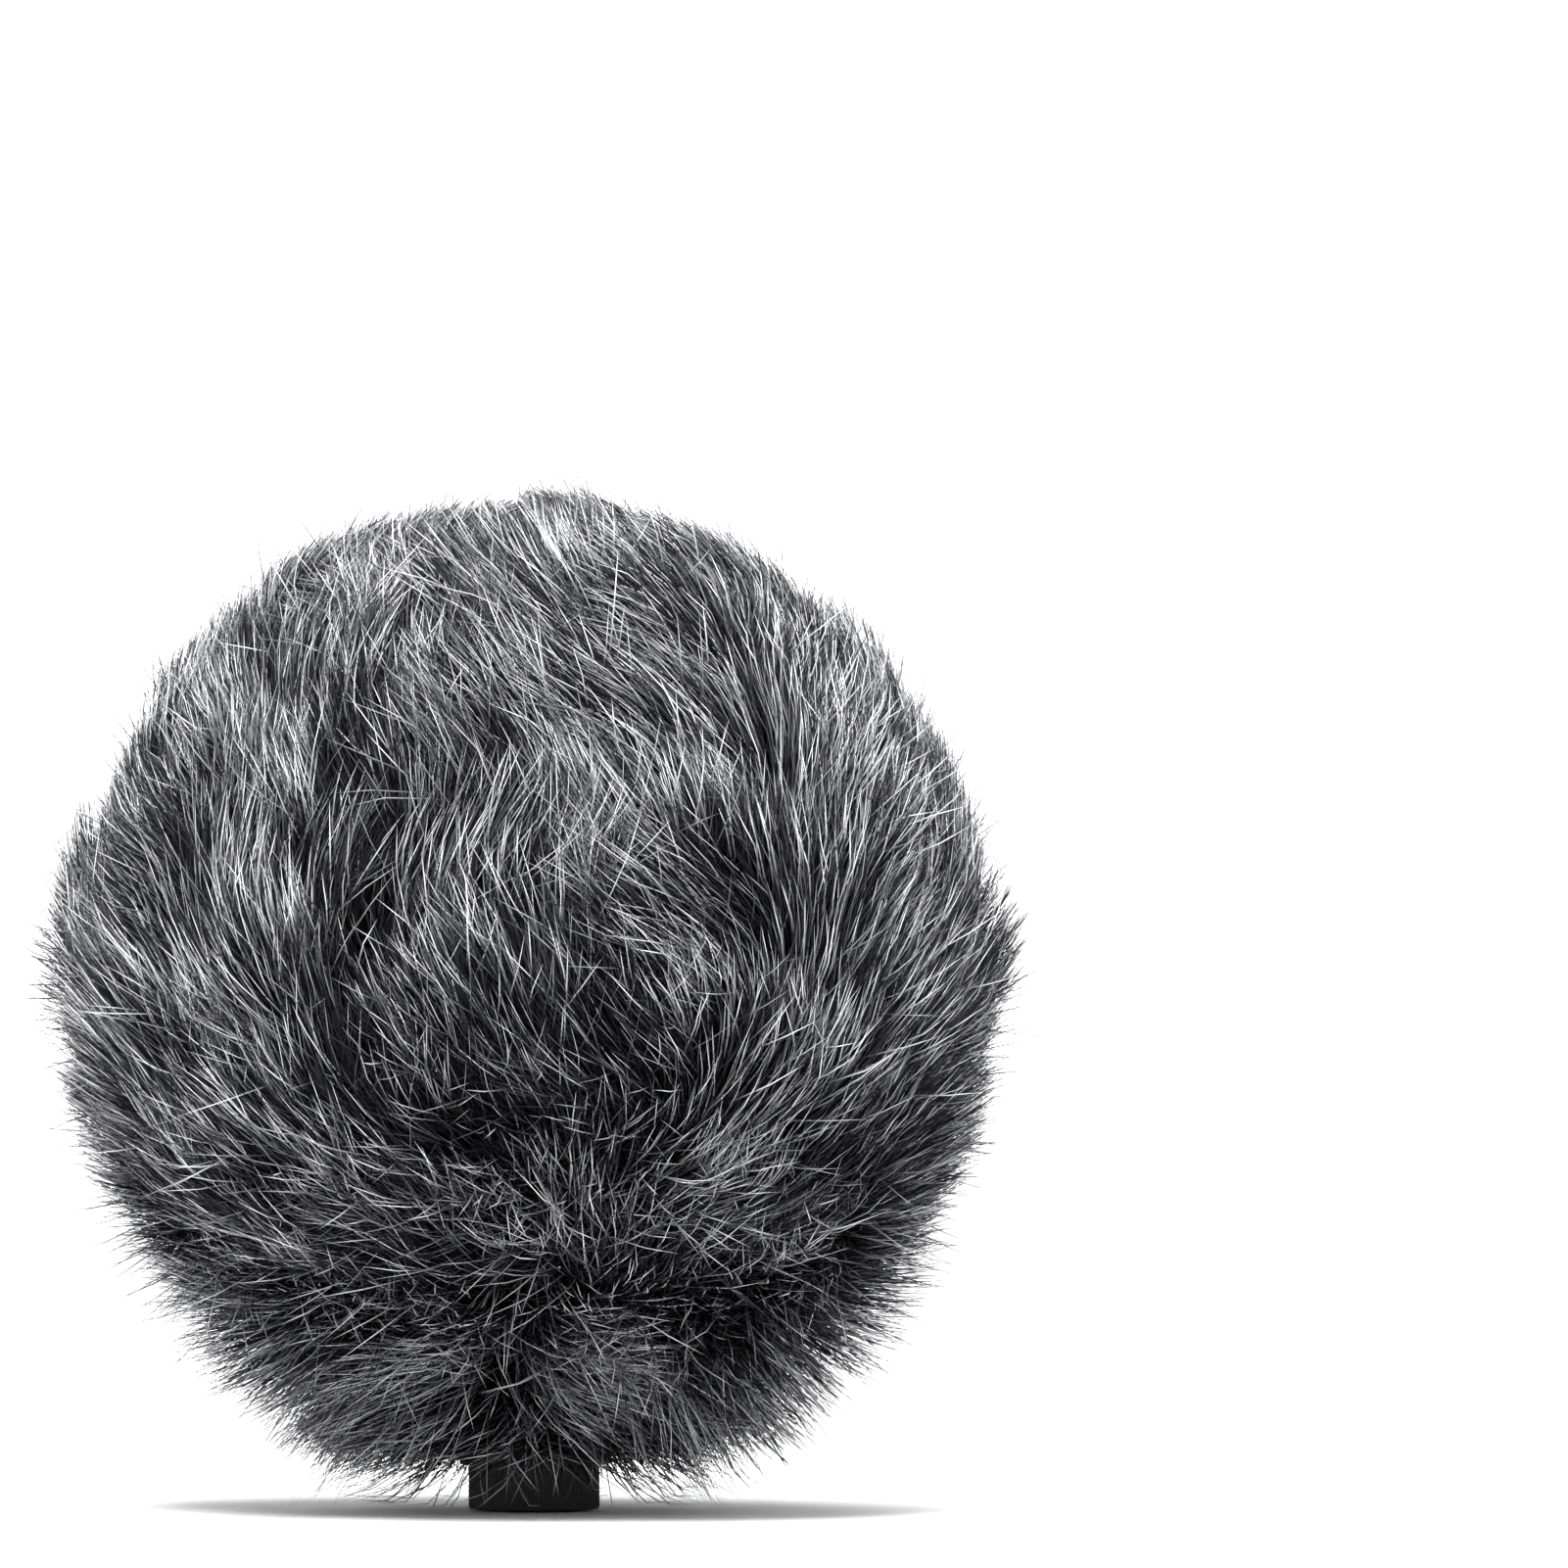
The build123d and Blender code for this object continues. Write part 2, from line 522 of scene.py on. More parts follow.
def around(directions: np.ndarray) -> tuple[np.ndarray, np.ndarray]:
    """The two tangents of the ball at some directions.

    Args:
        directions: Unit vectors from the middle of the ball.

    Returns:
        The tangent towards the crown, and the one to the right.
    """
    flat = np.linalg.norm(directions[:, :2], axis=1, keepdims=True) + 1e-9
    right = np.hstack([-directions[:, 1:2] / flat, directions[:, :1] / flat, np.zeros_like(flat)])
    return np.cross(directions, right), right


def headed(crown: np.ndarray, right: np.ndarray, heading: np.ndarray) -> np.ndarray:
    """Tangents of the ball that run along some headings, in radians."""
    return crown * np.cos(heading)[:, None] + right * np.sin(heading)[:, None]


def bell(distance: np.ndarray, reach: float) -> np.ndarray:
    """A share that is 1 at no distance, about 0.37 at the reach, and fades out beyond it."""
    return np.exp(-((distance / reach) ** 2))


def by_elevation(table: Sequence[tuple[float, float]], elevation: np.ndarray | float) -> np.ndarray:
    """Reads a table of (elevation, value) pairs, evenly between its rows."""
    return np.interp(elevation, *zip(*table, strict=True))


class Judged(Enum):
    """How a stroke's lean is read: as seen from the front, or from straight outside its own place."""

    FRONT = "front"
    OUTSIDE = "outside"


@dataclass(frozen=True)
class Stroke:
    """One stroke of the comb: how the fur leans around a place on the ball, in degrees to the right."""

    azimuth: float
    elevation: float
    lean: float
    reach: float = 14.0
    weight: float = 1.0
    lift: float = 0.0
    length: float = 1.0
    mess: float = 0.0
    # Painted light and shade: more pale fibres here above 0, fewer below it.
    painted_light: float = 0.0
    judged: Judged = Judged.FRONT

    def centre(self) -> np.ndarray:
        """Direction of the stroke's place from the middle of the ball."""
        a, e = math.radians(self.azimuth), math.radians(self.elevation)
        return np.array([math.sin(a) * math.cos(e), -math.cos(a) * math.cos(e), math.sin(e)])

    def mirrored(self) -> "Stroke":
        """The stroke's mirror image, on the other side of the front."""
        return replace(self, azimuth=-self.azimuth, lean=-self.lean)

    def heading(self, lift: float) -> float:
        """Turns the lean into a heading on the ball.

        Args:
            lift: How far the fibres stand off the ball there, in degrees.

        Returns:
            The heading, in radians.
        """
        lean, raised = math.radians(self.lean), math.radians(lift)
        if self.judged is Judged.OUTSIDE:
            return lean
        out = self.centre()
        crown, right = (tangent[0] for tangent in around(out[None]))
        upright = math.cos(raised) * (math.cos(lean) * crown[0] - math.sin(lean) * crown[2])
        sideways = math.cos(raised) * math.cos(lean) * right[0]
        rest = math.sin(raised) * (math.sin(lean) * out[2] - math.cos(lean) * out[0])
        swing = math.acos(max(-1.0, min(1.0, rest / math.hypot(upright, sideways))))
        middle = math.atan2(sideways, upright)

        def follows(heading: float) -> float:
            """How well a heading runs along the lean, rather than against it."""
            along = crown * math.cos(heading) + right * math.sin(heading)
            way = along * math.cos(raised) + out * math.sin(raised)
            return way[0] * math.sin(lean) + way[2] * math.cos(lean)

        return max(middle + swing, middle - swing, key=follows)


def pair(stroke: Stroke) -> tuple[Stroke, Stroke]:
    """A stroke with its mirror image."""
    return stroke, stroke.mirrored()


@dataclass
class Swirl:
    """Smooth noise on the ball: a sum of plane waves in random directions."""

    waves: int
    pitch: float
    size: float
    seed: int
    pitch_spread: tuple[float, float] = (0.7, 1.4)

    def __post_init__(self) -> None:
        """Draws the waves."""
        rng = np.random.default_rng(self.seed)
        ways = unit(rng.normal(size=(self.waves, 3)))
        self.ways = ways * (2 * math.pi / self.pitch) * rng.uniform(*self.pitch_spread, (self.waves, 1))
        self.phases = rng.uniform(0, 2 * math.pi, self.waves)

    def at(self, directions: np.ndarray) -> np.ndarray:
        """Noise values for unit vectors from the middle of the ball, about size in spread."""
        total = np.sin(directions @ self.ways.T + self.phases).sum(axis=1)
        return total * self.size * math.sqrt(2.0 / self.waves)


@dataclass
class Lie:
    """How fibres lie at some places, or what something adds to that.

    Heading and lift are in radians and length is a factor. Mess is how tangled the fibres are, and the
    painted light is how many of them are pale: more than usual above 0 as painted light, fewer below it as
    painted shade.
    """

    heading: np.ndarray
    lift: np.ndarray
    length: np.ndarray
    mess: np.ndarray | float = 0.0
    painted_light: np.ndarray | float = 0.0


@dataclass(frozen=True)
class Parting:
    """The clefts along the four seams, where the fibres lean apart and fewer pale fibres paint shade. Widths
    are degrees round the ball.
    """

    turn: float = 26.0
    width: float = 4.2
    short_width: float = 0.55
    painted_shade_width: float = 0.9
    shortens: float = 0.34
    painted_shade: float = 0.5
    front_depth: float = 1.0
    other_depth: float = 0.45
    foot: float = -50.0
    head: float = 78.0
    fade: float = 20.0

    def along_seams(self, directions: np.ndarray, elevation: np.ndarray) -> tuple[np.ndarray, ...]:
        """Reads the clefts.

        Args:
            directions: Unit vectors from the middle of the ball.
            elevation: Their elevations.

        Returns:
            The extra turn of the heading in radians, a factor on the length, and the painted shade in the
            cleft.
        """
        turned = np.zeros(len(directions))
        painted_seam_shade = np.zeros(len(directions))
        shortened = np.ones(len(directions))
        azimuth = np.degrees(np.arctan2(directions[:, 0], -directions[:, 1]))
        ends = np.clip((self.head - elevation) / self.fade, 0, 1)
        ends = ends * np.clip((elevation - self.foot) / self.fade, 0, 1)
        for number in range(len(GORES)):
            seam = FIRST_SEAM + GORE_ANGLE * number
            off = (azimuth - seam + 180.0) % 360.0 - 180.0
            off *= np.cos(np.radians(elevation))
            depth = (self.front_depth if number == 0 else self.other_depth) * ends
            turned += np.radians(self.turn) * depth * np.sign(off) * bell(off, self.width)
            shortened *= 1 - self.shortens * depth * bell(off, self.short_width * self.width)
            # Painted shade in the cleft: fewer pale fibres near the seam.
            painted_seam_shade += self.painted_shade * depth * bell(off, self.painted_shade_width * self.width)
        return turned, shortened, painted_seam_shade


@dataclass(frozen=True)
class Comb:
    """The way the whole fur lies: nap towards the crown, then comb strokes, swirls and seam partings."""

    strokes: tuple[Stroke, ...]
    swirls: tuple[Swirl, ...]
    lifts: tuple[tuple[float, float], ...]
    lengths: tuple[tuple[float, float], ...]
    messes: tuple[tuple[float, float], ...]
    parting: Parting = Parting()
    nap: float = 0.12
    root_rise: float = 8.0
    painted_light_limits: tuple[float, float] = (-0.45, 1.0)

    def lie(self, directions: np.ndarray) -> Lie:
        """Reads the comb's field.

        Args:
            directions: Unit vectors from the middle of the ball.

        Returns:
            How the fibres lie there.
        """
        elevation = np.degrees(np.arcsin(np.clip(directions[:, 2], -1, 1)))
        up = np.full(len(directions), self.nap)
        side = np.zeros(len(directions))
        painted_light = np.zeros(len(directions))
        tables = (self.lifts, self.lengths, self.messes)
        lift, length, mess = (by_elevation(table, elevation) for table in tables)
        for stroke in self.strokes:
            near = np.degrees(np.arccos(np.clip(directions @ stroke.centre(), -1, 1)))
            share = bell(near, stroke.reach)
            usual = float(by_elevation(self.lifts, stroke.elevation))
            turn = stroke.heading(usual + stroke.lift + self.root_rise)
            up += stroke.weight * share * math.cos(turn)
            side += stroke.weight * share * math.sin(turn)
            lift += stroke.lift * share
            length *= 1 + (stroke.length - 1) * share
            mess = np.maximum(mess, stroke.mess * share)
            painted_light += stroke.painted_light * share
        heading = np.arctan2(side, up)
        for swirl in self.swirls:
            heading += np.radians(swirl.at(directions))
        turned, shortened, painted_seam_shade = self.parting.along_seams(directions, elevation)
        painted_light = np.clip(painted_light - painted_seam_shade, *self.painted_light_limits)
        return Lie(heading + turned, np.radians(lift), length * shortened, mess, painted_light)


# -------------------------------------------------------------------- the fur


@dataclass
class Roots:
    """Where fibres stand on the backing. On_neck goes from 0 on the ball to 1 at the hem."""

    place: np.ndarray
    normal: np.ndarray
    azimuth: np.ndarray
    on_neck: np.ndarray

    def directions(self, centre: np.ndarray) -> np.ndarray:
        """Unit vectors from the middle of the ball to the roots."""
        return unit(self.place - centre)


@dataclass
class Scalp:
    """The backing's outer skin, which the fibres are spread evenly over."""

    shape: CoverShape
    sink: float = 0.2 * MM
    up_jitter: tuple[float, float] = (0.1, 0.9)
    round_jitter: float = 0.6

    def roots(self, count: int, rng: np.random.Generator) -> Roots:
        """Spreads roots over the skin, each turned on from the last by the golden angle.

        Args:
            count: How many.
            rng: Source of the jitter.

        Returns:
            The roots, from the neck up to the crown, sunk a little under the skin.
        """
        line = self.shape.meridian(self.shape.neck_outer, self.shape.backing)
        step = np.linalg.norm(np.diff(line[:, :2], axis=0), axis=1)
        ring = (line[1:, 0] + line[:-1, 0]) / 2
        area = np.concatenate([[0.0], np.cumsum(step * ring)])
        spot = (np.arange(count) + rng.uniform(*self.up_jitter, count)) / count * area[-1]
        radius, height, out, down = (np.interp(spot, area, line[:, i]) for i in range(4))
        golden = math.pi * (3 - math.sqrt(5))
        jitter = rng.uniform(-self.round_jitter, self.round_jitter, count)
        azimuth = np.arange(count) * golden + jitter / np.sqrt(count) * 3
        azimuth = (azimuth + math.pi) % (2 * math.pi) - math.pi
        radius, height = radius - out * self.sink, height - down * self.sink
        place = np.stack([radius * np.sin(azimuth), -radius * np.cos(azimuth), height], axis=1)
        normal = np.stack([out * np.sin(azimuth), -out * np.cos(azimuth), down], axis=1)
        meeting = area[len(line) // (FILLET_SHARE + 1)]
        return Roots(place, normal, np.degrees(azimuth), np.clip(1 - spot / meeting, 0, 1))


def nearest(directions: np.ndarray, centres: np.ndarray, chunk: int = 4000) -> np.ndarray:
    """Which centre each direction is closest to.

    Args:
        directions: Unit vectors.
        centres: Unit vectors.
        chunk: How many are compared at a time.

    Returns:
        An index into centres for each direction.
    """
    found = [
        np.argmax(directions[i : i + chunk].astype(np.float32) @ centres.T.astype(np.float32), axis=1)
        for i in range(0, len(directions), chunk)
    ]
    return np.concatenate(found)


@dataclass
class Locks:
    """Large locks: neighbours that share a heading, a lift, a length and a tone."""

    scalp: Scalp
    count: int = 460
    seed: int = 31
    turn: float = 11.0
    rise: float = 9.0
    length_spread: float = 0.11
    length_limits: tuple[float, float] = (0.75, 1.24)
    tone_spread: float = 0.08
    ragged: float = 0.02

    def __post_init__(self) -> None:
        """Draws the locks' habits."""
        rng = np.random.default_rng(self.seed)
        self.centres = self.scalp.roots(self.count, rng).directions(self.scalp.shape.centre)
        self.heading = np.radians(rng.normal(size=self.count) * self.turn)
        self.lift = np.radians(rng.normal(size=self.count) * self.rise)
        self.length = np.clip(rng.normal(1.0, self.length_spread, self.count), *self.length_limits)
        self.shade = rng.normal(size=self.count) * self.tone_spread
        self.ripple = Swirl(waves=12, pitch=0.16, size=0.02, seed=self.seed + 1)

    def habits(self, directions: np.ndarray) -> Lie:
        """What the locks, with ragged borders, add to the lie of fibres rooted at some directions."""
        at = nearest(directions + self.ragged * self.ripple.at(directions)[:, None], self.centres)
        return Lie(self.heading[at], self.lift[at], self.length[at])

    def tone(self, directions: np.ndarray) -> np.ndarray:
        """The locks' lightness at some directions."""
        return self.shade[nearest(directions, self.centres)]


@dataclass(frozen=True)
class Scatter:
    """How far single fibres and tufts stray from the comb's field. Turns and lifts are in degrees."""

    turn: float = 10.0
    lift: float = 5.5
    length: float = 0.1
    length_limits: tuple[float, float] = (0.68, 1.22)
    stray_turn: float = 28.0
    stray_lift: float = 13.0
    flyaway_share: float = 0.3
    flyaway_lift: float = 12.0
    flyaway_length: float = 1.1
    mess_strays: float = 0.4
    mess_turn: float = 45.0
    neck_turn: float = 20.0
    tuft_turn: float = 9.0
    tuft_lift: float = 4.0
    tuft_length: tuple[float, float] = (0.98, 1.1)

    def fibres(
        self, stray: np.ndarray, mess: np.ndarray, on_neck: np.ndarray, rng: np.random.Generator
    ) -> Lie:
        """Draws what each fibre adds to the field. A stray may be a flyaway, which stands off further.

        Args:
            stray: Which fibres are strays.
            mess: How tangled each one is.
            on_neck: How far down the neck each one is.
            rng: Source of the draws.

        Returns:
            Each fibre's own turn, lift and factor on the length.
        """
        count = len(stray)
        spread = np.where(stray, self.stray_turn, self.turn)
        spread = spread + self.mess_turn * mess * rng.random(count) + self.neck_turn * on_neck
        turn = np.radians(rng.normal(size=count) * spread)
        lift = np.radians(rng.normal(size=count) * np.where(stray, self.stray_lift, self.lift))
        lift += np.radians(self.stray_lift) * stray
        long = np.clip(rng.normal(1.0, self.length, count), *self.length_limits)
        flyaway = stray & (rng.random(count) < self.flyaway_share)
        lift += np.radians(self.flyaway_lift) * flyaway
        return Lie(turn, lift, long * np.where(flyaway, self.flyaway_length, 1.0))

    def tufts(self, count: int, rng: np.random.Generator) -> Lie:
        """Draws what each tuft adds to the field.

        Args:
            count: How many tufts there are.
            rng: Source of the draws.

        Returns:
            Each tuft's own turn, lift and factor on the length.
        """
        turn = np.radians(rng.normal(size=count) * self.tuft_turn)
        lift = np.radians(rng.normal(size=count) * self.tuft_lift)
        return Lie(turn, lift, rng.uniform(*self.tuft_length, count))


@dataclass(frozen=True)
class Dye:
    """How light a layer's fibres are, from 0, dark, to 1, silver. Most are near the middle shade."""

    middle: float
    spread: float
    pale_share: float
    silver_share: float
    pale: tuple[float, float] = (0.6, 0.07)
    silver: tuple[float, float] = (0.74, 1.0)
    tuft_spread: float = 0.085
    stray_gain: float = 1.8
    painted_light_gain: float = 1.6

    def shades(self, stray: np.ndarray, painted_light: np.ndarray, rng: np.random.Generator) -> np.ndarray:
        """Draws each fibre's own shade.

        Args:
            stray: Which fibres are strays, since more of those are pale.
            painted_light: How many pale fibres each one's place has, which paints light and shade there.
            rng: Source of the draws.

        Returns:
            The shades.
        """
        count = len(stray)
        draw = rng.random(count) / (np.where(stray, self.stray_gain, 1.0) + self.painted_light_gain * painted_light)
        silver, pale = rng.uniform(*self.silver, count), rng.normal(*self.pale, count)
        lighter = np.where(draw < self.silver_share, silver, pale)
        usual = self.middle + self.spread * rng.normal(size=count)
        return np.where(draw < self.silver_share + self.pale_share, lighter, usual)


@dataclass(frozen=True)
class Flare:
    """The skirt round the neck, where the fibres stand out level and fan sideways."""

    fan: float = 0.85
    fan_turn: float = 1.6
    droop: float = 0.5
    droop_curve: float = 1.5

    def way(self, ways: np.ndarray, right: np.ndarray, heading: np.ndarray, turn: np.ndarray) -> np.ndarray:
        """Which way the skirt's fibres run.

        Args:
            ways: Unit vectors from the middle of the ball to the fibres.
            right: The ball's tangents to the right there.
            heading: The fibres' headings, in radians.
            turn: Their own turns from the field, in radians, which make them droop.

        Returns:
            Unit vectors.
        """
        level = unit(ways * np.array([1.0, 1.0, 0.0]), spare=1e-9)
        sideways = right * np.sin(heading * self.fan_turn)[:, None] * self.fan
        drop = self.droop * np.abs(turn)[:, None] ** self.droop_curve
        return unit(level + sideways - np.array([0.0, 0.0, 1.0]) * drop)


@dataclass(frozen=True)
class Pile:
    """One layer of fibres: how many, how long and thick, and how they gather into tufts."""

    name: str
    finish: Finish
    dye: Dye
    count: int
    rings: int
    length: float
    radius: float
    root_lift: float
    tufts: int
    halves: bool
    stray_share: float
    seed: int
    lift_share: float = 1.0
    taper: tuple[float, ...] = (0.9, 1.0, 0.74)
    scatter: Scatter = Scatter()
    flare: Flare = Flare()
    half_line: float = 4.0 * MM
    least_bend: float = 0.12
    rise_limits: tuple[float, float] = (-4.0, 88.0)
    floor: float = 0.8 * MM
    reads_at: float = 0.55
    gather: tuple[float, float] = (0.0, 0.5)
    gather_curve: float = 1.25
    stray_gather: float = 0.15
    mess_gather: float = 0.6
    tuft_width: float = 0.35
    wave: float = 0.022
    wave_turns: tuple[float, float] = (0.35, 0.95)
    thin: float = 0.85
    pale_gain: float = 0.55
    thickness: tuple[float, float] = (0.85, 1.15)

    def build(
        self, scalp: Scalp, comb: Comb, locks: Locks, skin: bpy.types.Material
    ) -> list[bpy.types.Object]:
        """Grows the layer and makes its pieces.

        Args:
            scalp: Where the fibres stand.
            comb: How they lie.
            locks: The large locks that all layers share.
            skin: The fibres' material.

        Returns:
            One piece for each gore, or two where the layer is split into an upper and a lower half.
        """
        rng = np.random.default_rng(self.seed)
        roots = scalp.roots(self.count, rng)
        spines, shades = self.grow(roots, scalp, comb, locks, rng)
        gore = ((roots.azimuth - FIRST_SEAM) // GORE_ANGLE).astype(int) % len(GORES)
        bands = {"": np.ones(self.count, bool)}
        if self.halves:
            upper = roots.place[:, 2] > scalp.shape.ball_height - self.half_line
            bands = {"_upper": upper, "_lower": ~upper}
        pieces = []
        for number, gore_name in enumerate(GORES):
            for band, inside in bands.items():
                which = (gore == number) & inside
                corners = self.corners(spines[which], shades[which], scalp.shape.centre, rng)
                piece = self.spikes(f"{self.name}_{gore_name}{band}", corners, shades[which])
                piece.data.materials.append(skin)
                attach(piece, "root")
                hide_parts(f"{self.name}_{gore_name}")
                pieces.append(piece)
        return pieces

    def grow(
        self, roots: Roots, scalp: Scalp, comb: Comb, locks: Locks, rng: np.random.Generator
    ) -> tuple[np.ndarray, np.ndarray]:
        """Works out every fibre's line and shade.

        Args:
            roots: Where the fibres stand.
            scalp: The skin.
            comb: How the fibres lie.
            locks: The large locks.
            rng: Source of each fibre's own habits.

        Returns:
            Spines as (fibre, point, xyz), and shades from 0, dark, to 1, silver.
        """
        centre = scalp.shape.centre
        directions = roots.directions(centre)
        lie = comb.lie(directions)
        stray = rng.random(self.count) < self.stray_share + self.scatter.mess_strays * lie.mess
        own = self.scatter.fibres(stray, lie.mess, roots.on_neck, rng)
        spines = self.lines(roots, scalp.shape, comb, locks.habits(directions), own)
        guides = scalp.roots(self.tufts, rng)
        ways = guides.directions(centre)
        own = self.scatter.tufts(self.tufts, rng)
        paths = self.lines(guides, scalp.shape, comb, locks.habits(ways), own)
        tuft = nearest(directions, ways)
        pull = rng.uniform(*self.gather, self.tufts)[tuft] * np.where(stray, self.stray_gather, 1.0)
        spines = self.gathered(spines, paths[tuft], pull * (1 - self.mess_gather * lie.mess), rng)
        tone = rng.normal(size=self.tufts)[tuft] * self.dye.tuft_spread + locks.tone(directions)
        shades = self.dye.shades(stray, lie.painted_light, rng) + tone
        return self.wavy(spines, centre, rng), np.clip(shades, 0.01, 0.99)

    def lines(self, roots: Roots, shape: CoverShape, comb: Comb, habits: Lie, own: Lie) -> np.ndarray:
        """Lays a line from each root, the way the comb's field says for the part that shows.

        Args:
            roots: Where the lines start.
            shape: The cover's sizes.
            comb: How fibres lie.
            habits: What each one's lock adds to the field.
            own: What each one adds to that.

        Returns:
            Lines as (line, point, xyz).
        """
        here, centre = roots.place, shape.centre
        start = comb.lie(roots.directions(centre))
        field_ahead = comb.lie(self.ahead(roots.directions(centre), start, shape.backing))
        heading = field_ahead.heading + habits.heading + own.heading
        lying = (start.lift + habits.lift) * self.lift_share + own.lift
        stride = (self.length * start.length * habits.length * own.length / self.rings)[:, None]
        bend = np.maximum(math.radians(self.root_lift) - lying, self.least_bend)
        neck = roots.on_neck[:, None]
        points = [here]
        for step in range(self.rings):
            ways = unit(here - centre)
            crown, right = around(ways)
            out = unit(ways * (1 - neck) + roots.normal * neck)
            rise = lying + bend * (1 - step / self.rings) ** 2
            rise = np.clip(rise, *(math.radians(limit) for limit in self.rise_limits))[:, None]
            way = headed(crown, right, heading) * np.cos(rise) + out * np.sin(rise)
            flared = self.flare.way(ways, right, heading, own.heading)
            here = here + unit(way * (1 - neck) + flared * neck) * stride
            here[:, 2] = np.maximum(here[:, 2], self.floor)
            points.append(here)
        return np.stack(points, axis=1)

    def ahead(self, directions: np.ndarray, lie: Lie, radius: float) -> np.ndarray:
        """Where the part of a fibre that shows lies, rather than its hidden root.

        Args:
            directions: Unit vectors from the middle of the ball to the roots.
            lie: How the fibres lie at the roots.
            radius: The ball's radius.

        Returns:
            Unit vectors to the shown parts.
        """
        step = self.reads_at * self.length / radius * lie.length * np.cos(lie.lift)
        return unit(directions + headed(*around(directions), lie.heading) * step[:, None])

    def gathered(
        self, spines: np.ndarray, paths: np.ndarray, pull: np.ndarray, rng: np.random.Generator
    ) -> np.ndarray:
        """Pulls each fibre towards its tuft's line, more and more towards the tip.

        Args:
            spines: The fibres' own lines, as (fibre, point, xyz).
            paths: The line of each one's tuft.
            pull: How far each tip goes over to the tuft, from 0 to 1.
            rng: Source of each fibre's place in the tuft.

        Returns:
            The gathered lines.
        """
        t = np.linspace(0, 1, spines.shape[1])
        grip = pull[:, None] * t[None, :] ** self.gather_curve
        aside = rng.normal(size=(len(spines), 3)) * self.tuft_width * MM
        target = paths + aside[:, None, :] * t[None, :, None]
        return spines + (target - spines) * grip[:, :, None]

    def wavy(self, spines: np.ndarray, centre: np.ndarray, rng: np.random.Generator) -> np.ndarray:
        """Gives each fibre its own slow bend.

        Args:
            spines: Lines as (fibre, point, xyz).
            centre: Middle of the ball.
            rng: Source of the bends.

        Returns:
            The bent lines.
        """
        count, points, _ = spines.shape
        t = np.linspace(0, 1, points)
        side = unit(np.cross(spines[:, -1] - spines[:, 0], spines[:, 0] - centre), spare=1e-12)
        size = rng.normal(size=count) * self.wave * self.length
        phase = rng.uniform(0, 2 * math.pi, count)
        turns = rng.uniform(*self.wave_turns, count)
        swing = np.sin(2 * math.pi * turns[:, None] * t + phase[:, None]) - np.sin(phase)[:, None]
        return spines + side[:, None, :] * (size[:, None] * swing * t)[:, :, None]

    def corners(
        self, spines: np.ndarray, shades: np.ndarray, centre: np.ndarray, rng: np.random.Generator
    ) -> np.ndarray:
        """Works out the corners of tapering spikes around the spines. Paler fibres are thicker.

        Args:
            spines: Lines as (fibre, point, xyz).
            shades: Each fibre's shade.
            centre: Middle of the ball.
            rng: Source of each fibre's thickness and roll.

        Returns:
            Corners as (fibre, corner, xyz): its rings from the root up, then its tip.
        """
        count = len(spines)
        ends = spines[:, : self.rings]
        along = unit(np.gradient(spines, axis=1)[:, : self.rings], spare=1e-12)
        first = unit(np.cross(along, ends - centre), spare=1e-12)
        second = np.cross(along, first)
        taper = np.interp(np.linspace(0, 1, self.rings), np.linspace(0, 1, len(self.taper)), self.taper)
        bold = self.thin + self.pale_gain * np.clip(shades, 0, 1)
        thick = self.radius * (bold * rng.uniform(*self.thickness, count))[:, None] * taper[None, :]
        roll = rng.uniform(0, 2 * math.pi, count)
        rings = np.zeros((count, self.rings, SIDES, 3))
        for side in range(SIDES):
            angle = (roll + 2 * math.pi * side / SIDES)[:, None, None]
            rings[:, :, side] = ends + thick[:, :, None] * (first * np.cos(angle) + second * np.sin(angle))
        return np.concatenate([rings.reshape(count, self.rings * SIDES, 3), spines[:, -1:]], axis=1)

    def spikes(self, name: str, corners: np.ndarray, shades: np.ndarray) -> bpy.types.Object:
        """Makes closed three-sided spikes, mapped by shade and by place along the fibre.

        No operator lays tens of thousands of separate fibres, each on its own line, so the fibres'
        points and faces are filled in as whole arrays.

        Args:
            name: The piece's name.
            corners: The spikes' corners, as (fibre, corner, xyz).
            shades: Each fibre's shade.

        Returns:
            The piece.
        """
        count, per_fibre, _ = corners.shape
        starts = (np.arange(count) * per_fibre)[:, None, None]
        order = (self.spike_faces()[None] + starts).reshape(-1)
        mesh = bpy.data.meshes.new(name)
        mesh.vertices.add(count * per_fibre)
        mesh.vertices.foreach_set("co", corners.astype(np.float32).ravel())
        mesh.loops.add(len(order))
        mesh.loops.foreach_set("vertex_index", order.astype(np.int32))
        mesh.polygons.add(len(order) // 3)
        mesh.polygons.foreach_set("loop_start", np.arange(0, len(order), 3, dtype=np.int32))
        mesh.polygons.foreach_set("use_smooth", np.ones(len(order) // 3, dtype=bool))
        mesh.update(calc_edges=True)
        layer = mesh.uv_layers.new(name=STRAND_MAP)
        layer.data.foreach_set("uv", self.strand_map(shades)[order].astype(np.float32).ravel())
        return placed(name, mesh)

    def strand_map(self, shades: np.ndarray) -> np.ndarray:
        """Places every corner on the strand map: across by shade, up by place along the fibre.

        Args:
            shades: Each fibre's shade.

        Returns:
            A row of two for each corner, kept just inside the map. A fibre is a little wide on it.
        """
        across = np.append(np.tile(np.array([-1.0, 0.0, 1.0]) * MAP_HALF_WIDTH, self.rings), 0.0)
        up = np.append(np.repeat(np.linspace(0.02, 1, self.rings, endpoint=False), SIDES), 0.98)
        across = across[None, :] + shades[:, None]
        table = np.stack([across, np.broadcast_to(up, across.shape)], axis=2).reshape(-1, 2)
        return np.clip(table, 0.001, 0.999)

